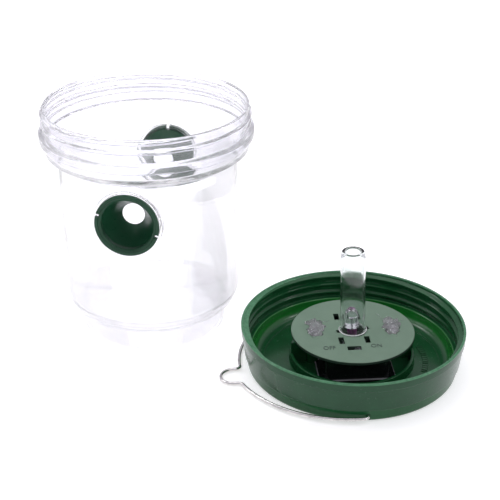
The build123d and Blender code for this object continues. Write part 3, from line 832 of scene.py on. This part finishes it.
# ------------------------------------------------------------------ entry funnels
catch = -(FLANGE + JAR_WALL + 2 * RUNNING_GAP)
spigot = MOUTH_RADIUS + FUNNEL_WALL
ridge = spigot + CATCH_RISE
lip = FLANGE_RADIUS - LIP_WIDTH
funnel_line = rounded([
    (MOUTH_RADIUS + CHAMFER, -LIP_DROP),
    (lip - LIP_SLOPE, -LIP_DROP),
    (lip, 0),
    (FLANGE_RADIUS, 0),
    (FLANGE_RADIUS, -FLANGE),
    (spigot, -FLANGE),
    (spigot, catch),
    (ridge, catch - CATCH_RAMP),
    (ridge, catch - CATCH_WIDTH),
    (spigot - CATCH_RAMP, catch - CATCH_END),
    (TIP_RADIUS + FUNNEL_WALL, -FUNNEL_LENGTH),
    (TIP_RADIUS, -FUNNEL_LENGTH),
    (MOUTH_RADIUS, catch),
    (MOUTH_RADIUS, -CHAMFER_DROP),
    (MOUTH_RADIUS + CHAMFER, -LIP_DROP),
], [0.15, 0.25, 0.5, 0.5, 0.2, 0.1, 0.1, 0.1, 0.5, 0.4, 0.4, 3, 0.3])
for side, azimuth in FUNNEL_AZIMUTHS.items():
    funnel = turned(funnel_line[:-1], 128, closed=True)
    cuts = []
    for half_turn in (0, 180):
        turn = Matrix.Rotation(radians(NOTCH_TURNS[side] + half_turn), 4, "Z")
        notch_place = turn @ Matrix.Translation((FLANGE_RADIUS - NOTCH_MIDDLE, 0, NOTCH_BOTTOM))
        cuts.append(block(*NOTCH, 0, notch_place))
    funnel = combine("DIFFERENCE", funnel, *cuts)
    place = JAR_PLACE @ funnel_place(azimuth, PAD_FACE + RUNNING_GAP + FLANGE)
    name = f"{side}_funnel"
    finish_piece(name + "_cone", funnel, place, name, name, "green_plastic", "funnel_plastic")

# ------------------------------------------------------------------ lid
LID_INNER = LID_RADIUS - RIM_WALL
CAP_INNER = CAP_RADIUS - CAP_WALL
lid_line = rounded([
    (0, 0),
    (CAP_RADIUS - CAP_DRAFT, 0),
    (CAP_RADIUS, SKIRT_START),
    (SKIRT_FOOT, SKIRT_START),
    *((LID_RADIUS - inward, LID_HEIGHT - down) for inward, down in BAND_STEPS),
    (LID_RADIUS, LID_HEIGHT),
    (LID_INNER, LID_HEIGHT),
    (SKIRT_INNER_FOOT, LEDGE),
    (CAP_INNER, LEDGE),
    (CAP_INNER - CAP_DRAFT, FLOOR + STEP_RISE),
    (STEP_RADIUS, FLOOR + STEP_RISE),
    (STEP_RADIUS, FLOOR),
    (COLLAR_RADIUS, FLOOR),
    (COLLAR_RADIUS, COLLAR_TOP),
    (COLLAR_RADIUS - COLLAR_WALL, COLLAR_TOP),
    (COLLAR_RADIUS - COLLAR_WALL, FLOOR),
    (0, FLOOR),
], [2.5, 0.3, 0.6, 0.3, 0.3, 0.6, 0.5, 0.4, 0.8, 5.5, 0.2, 0.2, 0.5, 0.4, 0.4, 0.5])
skirt_draft = (LID_INNER - SKIRT_INNER_FOOT) / (LID_HEIGHT - LEDGE)


def lid_rows(line):
    """Close rows on the inner wall, where the thread is."""
    for top, foot in zip(line, line[1:]):
        if top.y - foot.y > LID_HEIGHT - LEDGE - 2 and top.x < LID_RADIUS - 1:
            at = line.index(top)
            return line[:at] + rows([top, foot], 0.35) + line[at + 2:]


lid = turned(lid_rows(lid_line))
thread_low = LEDGE + 0.5
add_thread(lid, SKIRT_INNER_FOOT + skirt_draft * (thread_low - LEDGE), skirt_draft,
           THREAD_CREST - THREAD_OVERLAP, thread_low, LID_HEIGHT - 0.6,
           LEDGE + LID_THREAD_START, LID_THREAD_TURNS)


def on_floor(x):
    """A place sunk in the lid's floor, this far along its x axis."""
    return Matrix.Translation((x, 0, FLOOR - SINK))


posts = [disc(POST_RADIUS, COVER_BOTTOM - FLOOR + SINK, EDGE, on_floor(x), 48) for x in (-POST_X, POST_X)]
ribs = [block(*RIB, EDGE, on_floor(x)) for x in (-RIB_X, RIB_X)]
lid = combine("UNION", lid, *posts)
lid = combine("UNION", lid, *ribs)
panel_hole = block(PANEL, PANEL, FLOOR + 2 * SINK, 0, Matrix.Translation((0, 0, -SINK)))
sideways = Matrix.Rotation(radians(-90), 4, "X")
pin_holes = [disc(WIRE / 2 + PIN_GAP, PIN_CUT, 0, Matrix.Translation((0, y, PIN_HEIGHT)) @ sideways, 32)
             for y in PIN_CUT_STARTS]
lid = combine("DIFFERENCE", lid, panel_hole, *pin_holes)
finish_piece("lid_cap", lid, LID_PLACE, "lid", "lid", "green_plastic")

# ------------------------------------------------------------------ light tube
TUBE_LENGTH = TUBE_TOP - TUBE_SEAT
waist = COVER_TOP - TUBE_SEAT + 1
tube_line = rounded([
    (TUBE_BASE - TUBE_WALL / 2, 0),
    (TUBE_BASE, 0),
    (TUBE_BASE, waist),
    (TUBE_WAIST, waist + 2.0),
    (TUBE_WAIST - 0.1, TUBE_LENGTH - 4),
    (TUBE_LIP, TUBE_LENGTH),
    (TUBE_MOUTH, TUBE_LENGTH),
    (TUBE_MOUTH, TUBE_LENGTH - 1.2),
    (TUBE_WAIST - TUBE_WALL, TUBE_LENGTH - 4.2),
    (TUBE_WAIST - TUBE_WALL, waist + 2.4),
    (TUBE_BASE - TUBE_WALL, waist + 0.2),
    (TUBE_BASE - TUBE_WALL, 0),
    (TUBE_BASE - TUBE_WALL / 2, 0),
], [0.2, 0.6, 0.6, 1.8, 0.85, 0.6, 0.3, 1.2, 0.6, 0.5, 0.2], 10)
tube = turned(tube_line[:-1], 96, closed=True)
keys = []
for half_turn in (0, 180):
    turn = Matrix.Rotation(radians(KEY_TURN + half_turn), 4, "Z")
    keys.append(block(*KEY, 0.2, turn @ Matrix.Translation((KEY_MIDDLE, 0, 1))))
tube = combine("UNION", tube, *keys)
finish_piece("tube_wall", tube, leaning(TUBE_LEAN, COVER_TOP, TUBE_SEAT - COVER_TOP), "light_tube",
             "light_tube", "clear_tube")

# The white ring at the tube's foot is a painted glint: a whitish, partly clear ring put where the tube's
# foot catches light.
ring_line = [Vector((TUBE_BASE + RING_SECTION * cos(radians(turn)), RING_SECTION * sin(radians(turn))))
             for turn in range(0, 360, 30)]
finish_piece("tube_foot_ring", turned(ring_line, 72, closed=True), leaning(TUBE_LEAN, COVER_TOP, RING_RISE),
             "light_tube", slot="clear_tube", finish="white_glint_ring")

# ------------------------------------------------------------------ lamp
led_line = rounded([
    (0, 0),
    (LED_FLANGE_RADIUS, 0),
    (LED_FLANGE_RADIUS, LED_FLANGE),
    (LED_RADIUS, LED_FLANGE),
    (LED_RADIUS, LED_HEIGHT),
    (0, LED_HEIGHT),
], [0.2, 0.3, 0.2, LED_RADIUS - 0.05])
led_place = leaning(LED_LEAN, BOARD_TOP, LED_GAP + LED_LIFT)
finish_piece("lamp_lens", turned(led_line, 64), led_place, "lid", "led", "lamp")

# ------------------------------------------------------------------ bail
def trail(start, heading, moves):
    """Points along straight runs (a length) and arcs (a radius and a turn in degrees)."""
    points = [Vector(start)]
    for move in moves:
        length, turn = (move, 0) if isinstance(move, float) else (move[0] * radians(abs(move[1])), move[1])
        pieces = max(1, ceil(length / 1.5), ceil(abs(turn) / 8))
        for _ in range(pieces):
            heading += turn / pieces / 2
            chord = length / pieces if not turn else 2 * move[0] * sin(radians(abs(turn) / pieces / 2))
            points.append(points[-1] + chord * Vector((cos(radians(heading)), sin(radians(heading)))))
            heading += turn / pieces / 2
    return points


pin_run = HOOP_RADIUS - PIN_BEND - PIN_INNER
front = trail((0, -PIN_INNER), -90, [
    pin_run, (PIN_BEND, -90), (HOOP_RADIUS + FRONT_BULGE, -FRONT_SWEEP), (LOOP_BEND, FRONT_SWEEP)])
rear = trail((0, PIN_INNER), 90, [
    pin_run, (PIN_BEND, 90), (HOOP_RADIUS, REAR_SWEEP), (LOOP_BEND, -REAR_SWEEP)])
loop_radius = (rear[-1].y - front[-1].y) / 2
straight = front[-1].x + LOOP_TIP - loop_radius
loop = trail(front[-1], 180, [straight, (loop_radius, -180)])
route = front + loop[1:] + rear[::-1]

wire = bpy.data.curves.new("bail", "CURVE")
wire.dimensions = "3D"
wire.bevel_depth, wire.bevel_resolution, wire.use_fill_caps = WIRE / 2, 5, True
spline = wire.splines.new("POLY")
spline.points.add(len(route) - 1)
for point, spot in zip(spline.points, route):
    point.co = (spot.x, spot.y, 0, 1)
wire_object = bpy.data.objects.new("bail", wire)
scene.collection.objects.link(wire_object)
bail = bmesh.new()
bail.from_mesh(bpy.data.meshes.new_from_object(wire_object))
bpy.data.objects.remove(wire_object)
bmesh.ops.remove_doubles(bail, verts=bail.verts, dist=1e-4)
bmesh.ops.recalc_face_normals(bail, faces=bail.faces)
bail_tilt = degrees(asin((PIN_HEIGHT - WIRE / 2) / LOOP_TIP))
finish_piece("bail_loop", bail, leaning(bail_tilt, PIN_HEIGHT), "bail", "bail", "bail_wire", sharp=50)

# ------------------------------------------------------------------ legends on the cover
LETTER_SIZE = 5.4
LETTER_WIDTH = 0.78
LETTER_RISE = 0.09


def legend(word, x, y):
    """A short word in raised letters on the light module's cover."""
    curve = bpy.data.curves.new(word, "FONT")
    curve.body, curve.size, curve.extrude = word, LETTER_SIZE, LETTER_RISE
    curve.align_x, curve.align_y = "CENTER", "CENTER"
    letters = bpy.data.objects.new(word, curve)
    bm = bmesh.new()
    bm.from_mesh(bpy.data.meshes.new_from_object(letters))
    bpy.data.objects.remove(letters)
    bmesh.ops.remove_doubles(bm, verts=bm.verts, dist=1e-4)
    bmesh.ops.scale(bm, vec=(LETTER_WIDTH, 1, 1), verts=bm.verts)
    place = LID_PLACE @ Matrix.Translation((x, y, COVER_TOP + LETTER_RISE))
    return finish_piece("legend_" + word.lower(), bm, place, "lid", slot="cover_plastic", finish="legend")


legend("OFF", -16.6, -20.0)
legend("ON", 11.2, -19.2)

# ------------------------------------------------------------------ raised ticks on the lid's floor
ticks = []
for number in range(TICK_COUNT):
    turn = Matrix.Rotation(radians(TICK_START + TICK_TURN * number), 4, "Z")
    width = TICK_WIDTHS[number % 4 > 0]
    tick_place = turn @ Matrix.Translation((TICK_RADIUS, 0, FLOOR - 0.1))
    ticks.append(block(TICK_LONG, width, TICK_HIGH, 0.15, tick_place, 1))
finish_piece("floor_ticks", gather(*ticks), LID_PLACE, "lid", slot="green_plastic")


# ------------------------------------------------------------------ glue over the cover's screws
GLUE_HALF = (5.3, 10.2, 1.9)
GLUE_TOP = 3.6
GLUE_BOTTOM = 0.02
STRAND_RADIUS = 0.22
NOISE_SEED = 5
noise.seed_set(NOISE_SEED)     # noise_vector starts from the clock without it


def glue_blob(name, node, x, y, seed):
    """A crinkled blob of set glue, flat where it meets the cover."""
    bm = bmesh.new()
    bmesh.ops.create_icosphere(bm, subdivisions=4, radius=1)
    for vert in bm.verts:
        round_about = Vector((vert.co.x, vert.co.y, 0)).normalized() * 1.3
        ragged = 0.92 + 0.42 * noise.noise(round_about * 1.6 + Vector((0, 0, seed)))
        vert.co = Vector((vert.co.x * GLUE_HALF[0] * ragged, vert.co.y * GLUE_HALF[1] * ragged,
                          vert.co.z * GLUE_HALF[2]))
    bmesh.ops.recalc_face_normals(bm, faces=bm.faces)
    bm.normal_update()
    moves = []
    for vert in bm.verts:
        spot = vert.co * 0.42 + Vector((seed, 0, 0))
        crumple = noise.noise_vector(spot * 1.7) * 0.9
        moves.append(vert.normal * noise.noise(spot) * 2.6 + crumple)
    for vert, move in zip(bm.verts, moves):
        vert.co += move
        vert.co.z = min(GLUE_TOP, max(GLUE_BOTTOM, vert.co.z))
    place = LID_PLACE @ Matrix.Translation((x, y, COVER_TOP))
    finish_piece(name, bm, place, "lid", node, "glue", sharp=14)


glue_blob("glue_left", "glue_plug_left", -22.4, 3.2, 3.0)
glue_blob("glue_right", "glue_plug_right", 24.0, 2.6, 11.0)


def glue_strand(name, points):
    """A thin thread of glue that was pulled off a blob and lies on the cover."""
    curve = bpy.data.curves.new(name, "CURVE")
    curve.dimensions, curve.use_fill_caps = "3D", True
    curve.bevel_depth, curve.bevel_resolution = STRAND_RADIUS, 2
    spline = curve.splines.new("NURBS")
    spline.points.add(len(points) - 1)
    for number, (point, (x, y)) in enumerate(zip(spline.points, points)):
        point.co = (x, y, 0.2, 1)
        point.radius = 1 - 0.75 * number / len(points)
    spline.order_u, spline.use_endpoint_u = 3, True
    strand = bpy.data.objects.new(name, curve)
    bm = bmesh.new()
    bm.from_mesh(bpy.data.meshes.new_from_object(strand))
    bpy.data.objects.remove(strand)
    return bm


strands = [
    glue_strand("strand", [(-19.5, 8), (-17, 10.5), (-14.5, 10), (-12.8, 11.2)]),
    glue_strand("strand", [(-24, -3), (-26, -5.5), (-25, -8)]),
    glue_strand("strand", [(21.5, 8), (19, 12), (18.5, 15), (16.8, 17.5)]),
    glue_strand("strand", [(26.5, 7), (29, 8.5), (31, 7.8), (32.4, 8.6)]),
    glue_strand("strand", [(25, -4), (25.8, -7.5), (24.6, -10)]),
]
on_cover = LID_PLACE @ Matrix.Translation((0, 0, COVER_TOP))
finish_piece("glue_strands", gather(*strands), on_cover, "lid", slot="glue")

# ------------------------------------------------------------------ lead frame inside the lamp
cup_line = rounded([(0, 5.0), (0.5, 5.0), (1.15, 6.0), (1.15, 6.2), (0.6, 5.3), (0, 5.3)],
                   [0.1, 0.1, 0.05, 0.1])
cup = turned(cup_line, 32)
lead_frame = gather(
    cup,
    block(0.9, 0.5, 5.0, 0.08, Matrix.Translation((0, 0, 0.4))),
    block(0.9, 0.5, 5.2, 0.08, Matrix.Translation((1.9, 0, 0.4))),
    block(1.5, 0.5, 0.6, 0.08, Matrix.Translation((1.6, 0, 5.4))),
)
finish_piece("lamp_lead_frame", lead_frame, led_place, "lid", slot="steel_small")

# ------------------------------------------------------------------ finishes of the carried-over nodes
NODE_FINISHES = {
    "module_cover": "cover_plastic",
    "solar_housing": "black_plastic",
    "switch_knob": "black_plastic",
    "switch_body": "black_plastic",
    "module_screws": "steel_small",
    "board_screws": "steel_small",
    "battery_contacts": "steel_small",
    "battery": "battery_wrap",
    "circuit_board": "board",
    "solar_window": "solar_glass",
    "solar_cell": "solar_silicon",
    "solar_lead_red": "red_lead",
    "solar_lead_black": "black_lead",
    "led_spacer": "purple_plastic",
}
for node, finish in NODE_FINISHES.items():
    for material_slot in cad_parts[node].material_slots:
        material_slot.material = FINISHES[finish]
